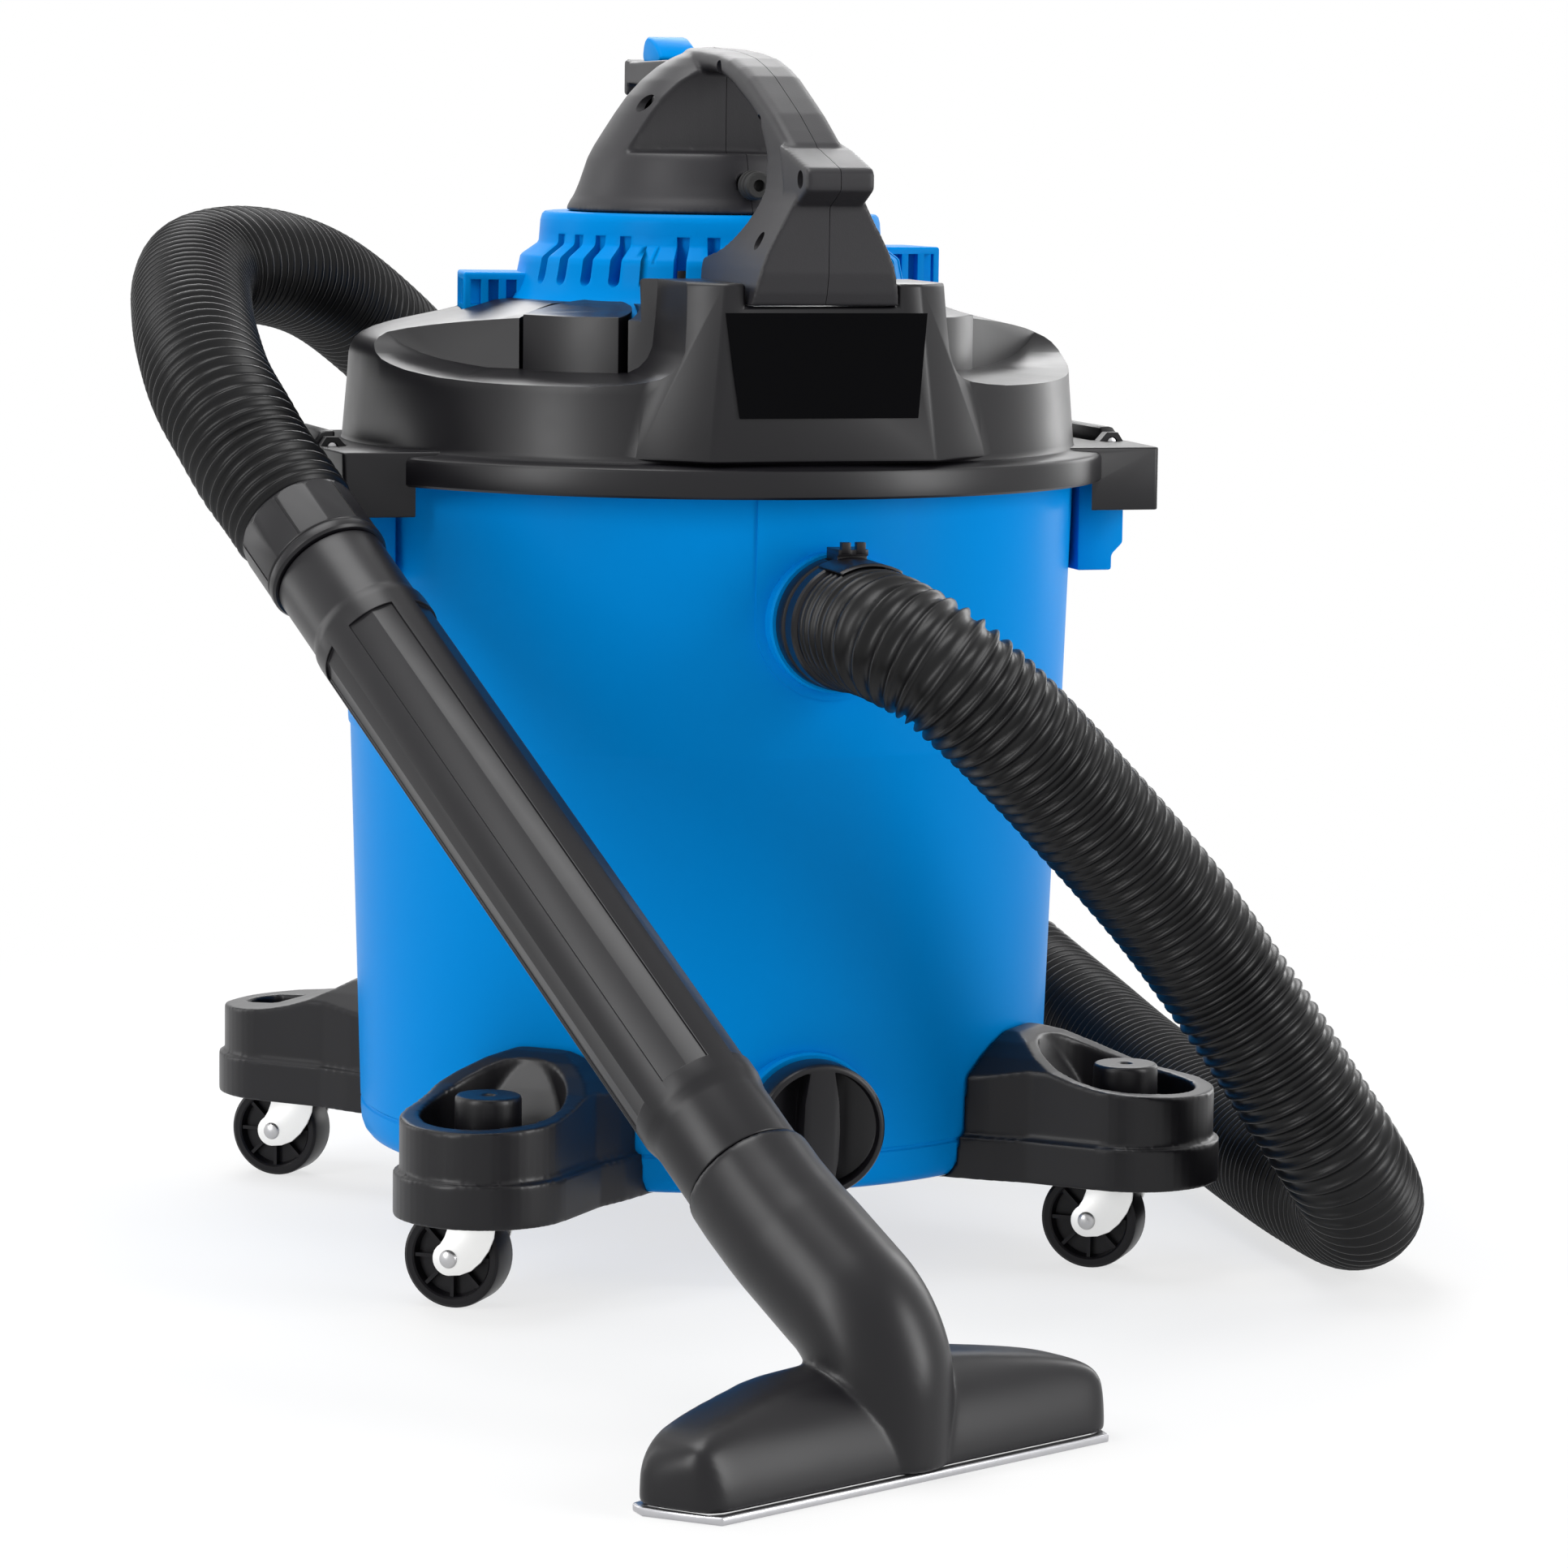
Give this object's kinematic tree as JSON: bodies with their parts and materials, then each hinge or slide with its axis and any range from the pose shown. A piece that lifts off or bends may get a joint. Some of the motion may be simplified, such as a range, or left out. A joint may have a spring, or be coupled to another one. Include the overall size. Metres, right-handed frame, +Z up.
{
  "type": "shop vacuum",
  "caption": "Wet and dry shop vacuum: round tank on swivel casters, domed lid with motor head and carry handle, ribbed hose, straight wand and floor nozzle.",
  "frame": {"origin": "on the floor, under the middle of the box of everything but the hose", "axes": "+Z up, front with the hose port and drain towards -Y, +X to the right of the tank seen from the front; the tank axis is parallel to +Z"},
  "size_m": [0.6184, 0.9535, 0.6145],
  "materials": {
    "blue_plastic": "smooth moulded polypropylene, semi gloss",
    "black_plastic": "smooth moulded plastic, satin",
    "textured_black": "fine spark-eroded grain, satin",
    "gloss_black": "polished plate",
    "hose_black": "glossy blow-moulded ribs",
    "wheel_black": "hard moulded wheel",
    "rubber": "soft black rubber",
    "zinc": "bright zinc plated pressed steel",
    "steel": "plated steel",
    "motor_steel": "laminated steel and end bells",
    "dull_silver": "dull silver strip",
    "white_plastic": "plain moulded plastic",
    "filter_paper": "pleated filter paper with moulded end rings"
  },
  "bodies": {
    "tank_body": {"tank": "blue_plastic", "inlet_collar": "black_plastic", "hose_tank_cuff": "black_plastic", "foot_fl": "black_plastic", "foot_screw_fl": "steel", "foot_fr": "black_plastic", "foot_screw_fr": "steel", "foot_br": "black_plastic", "foot_screw_br": "steel", "foot_bl": "black_plastic", "foot_screw_bl": "steel", "wand": "black_plastic", "hose_wand_cuff": "black_plastic", "hose": "hose_black"},
    "drain_plug": {"drain_gasket": "rubber"},
    "drain_cap": {"drain_cap": "black_plastic"},
    "lock_tab": {"hose_lock_tab": "black_plastic"},
    "lid_head": {"lid_seal": "rubber", "lid": "black_plastic", "label_plate": "gloss_black", "latch_pin_right": "steel", "latch_pin_left": "steel", "head_base": "blue_plastic", "handle_shell_left": "textured_black", "handle_shell_right": "textured_black", "handle_screw_rear": "steel", "handle_screw_upper": "steel", "handle_screw_middle": "steel", "handle_screw_front": "steel", "handle_screw_lower": "steel", "switch_pin": "steel", "cord_gland": "rubber", "fan_housing": "black_plastic", "motor": "motor_steel", "filter_cage": "black_plastic", "cartridge_filter": "filter_paper"},
    "latch_right": {"latch_right": "black_plastic"},
    "latch_left": {"latch_left": "black_plastic"},
    "power_switch": {"power_switch": "blue_plastic"},
    "rotor": {"motor_shaft": "steel", "impeller": "steel"},
    "float_ball": {"float_ball": "white_plastic"},
    "filter_retainer": {"filter_retainer": "black_plastic"},
    "floor_nozzle": {"floor_nozzle": "black_plastic", "nozzle_lip": "dull_silver"},
    "caster_fl": {"caster_fork_fl": "zinc", "caster_axle_fl": "steel"},
    "wheel_fl": {"caster_wheel_fl": "wheel_black"},
    "caster_fr": {"caster_fork_fr": "zinc", "caster_axle_fr": "steel"},
    "wheel_fr": {"caster_wheel_fr": "wheel_black"},
    "caster_br": {"caster_fork_br": "zinc", "caster_axle_br": "steel"},
    "wheel_br": {"caster_wheel_br": "wheel_black"},
    "caster_bl": {"caster_fork_bl": "zinc", "caster_axle_bl": "steel"},
    "wheel_bl": {"caster_wheel_bl": "wheel_black"}
  },
  "joints": [
    {"name": "lid_lift", "type": "slide", "parent": "tank_body", "child": "lid_head", "axis": [0, 0, 1], "range_m": [0, 0.25]},
    {"name": "latch_right_turn", "type": "hinge", "parent": "lid_head", "child": "latch_right", "pos_m": [0.23159, 0.19216, 0.4085], "axis": [0, -1, 0], "range_deg": [0, 95]},
    {"name": "latch_left_turn", "type": "hinge", "parent": "lid_head", "child": "latch_left", "pos_m": [-0.18241, 0.19216, 0.4085], "axis": [0, 1, 0], "range_deg": [0, 95]},
    {"name": "switch_rock", "type": "hinge", "parent": "lid_head", "child": "power_switch", "pos_m": [0.02459, 0.26716, 0.5995], "axis": [1, 0, 0], "range_deg": [-8, 8]},
    {"name": "rotor_spin", "type": "hinge", "parent": "lid_head", "child": "rotor", "pos_m": [0.02459, 0.19216, 0.48], "axis": [0, 0, 1], "continuous": true},
    {"name": "float_rise", "type": "slide", "parent": "lid_head", "child": "float_ball", "axis": [0, 0, 1], "range_m": [0, 0.072]},
    {"name": "retainer_turn", "type": "hinge", "parent": "lid_head", "child": "filter_retainer", "pos_m": [0.02459, 0.19216, 0.29], "axis": [0, 0, 1], "range_deg": [0, 60]},
    {"name": "drain_travel", "type": "slide", "parent": "tank_body", "child": "drain_plug", "axis": [0, -1, 0], "range_m": [0, 0.004]},
    {"name": "drain_turn", "type": "hinge", "parent": "drain_plug", "child": "drain_cap", "pos_m": [0.02459, 0.00216, 0.0845], "axis": [0, -1, 0], "range_deg": [0, 360]},
    {"name": "lock_tab_lift", "type": "slide", "parent": "tank_body", "child": "lock_tab", "axis": [0, 0, 1], "range_m": [0, 0.0025], "stiffness_N_per_m": 400},
    {"name": "nozzle_turn", "type": "hinge", "parent": "tank_body", "child": "floor_nozzle", "pos_m": [-0.07921, -0.28504, 0.094], "axis": [-0.2984, 0.7408, 0.6019], "range_deg": [-90, 90]},
    {"name": "swivel_fl", "type": "hinge", "parent": "tank_body", "child": "caster_fl", "pos_m": [-0.136, 0.01381, 0.057], "axis": [0, 0, 1], "continuous": true},
    {"name": "wheel_fl_roll", "type": "hinge", "parent": "caster_fl", "child": "wheel_fl", "pos_m": [-0.148, 0.02281, 0.025], "axis": [-0.6, -0.8, 0], "continuous": true},
    {"name": "swivel_fr", "type": "hinge", "parent": "tank_body", "child": "caster_fr", "pos_m": [0.19723, 0.02545, 0.057], "axis": [0, 0, 1], "continuous": true},
    {"name": "wheel_fr_roll", "type": "hinge", "parent": "caster_fr", "child": "wheel_fr", "pos_m": [0.18523, 0.03445, 0.025], "axis": [-0.6, -0.8, 0], "continuous": true},
    {"name": "swivel_br", "type": "hinge", "parent": "tank_body", "child": "caster_br", "pos_m": [0.19131, 0.3648, 0.057], "axis": [0, 0, 1], "continuous": true},
    {"name": "wheel_br_roll", "type": "hinge", "parent": "caster_br", "child": "wheel_br", "pos_m": [0.17931, 0.3738, 0.025], "axis": [-0.6, -0.8, 0], "continuous": true},
    {"name": "swivel_bl", "type": "hinge", "parent": "tank_body", "child": "caster_bl", "pos_m": [-0.14805, 0.35888, 0.057], "axis": [0, 0, 1], "continuous": true},
    {"name": "wheel_bl_roll", "type": "hinge", "parent": "caster_bl", "child": "wheel_bl", "pos_m": [-0.16005, 0.36788, 0.025], "axis": [-0.6, -0.8, 0], "continuous": true}
  ],
  "couplings": [
    {"joint": "drain_travel", "follows": "drain_turn", "m_per_rad": 0.00063662}
  ]
}
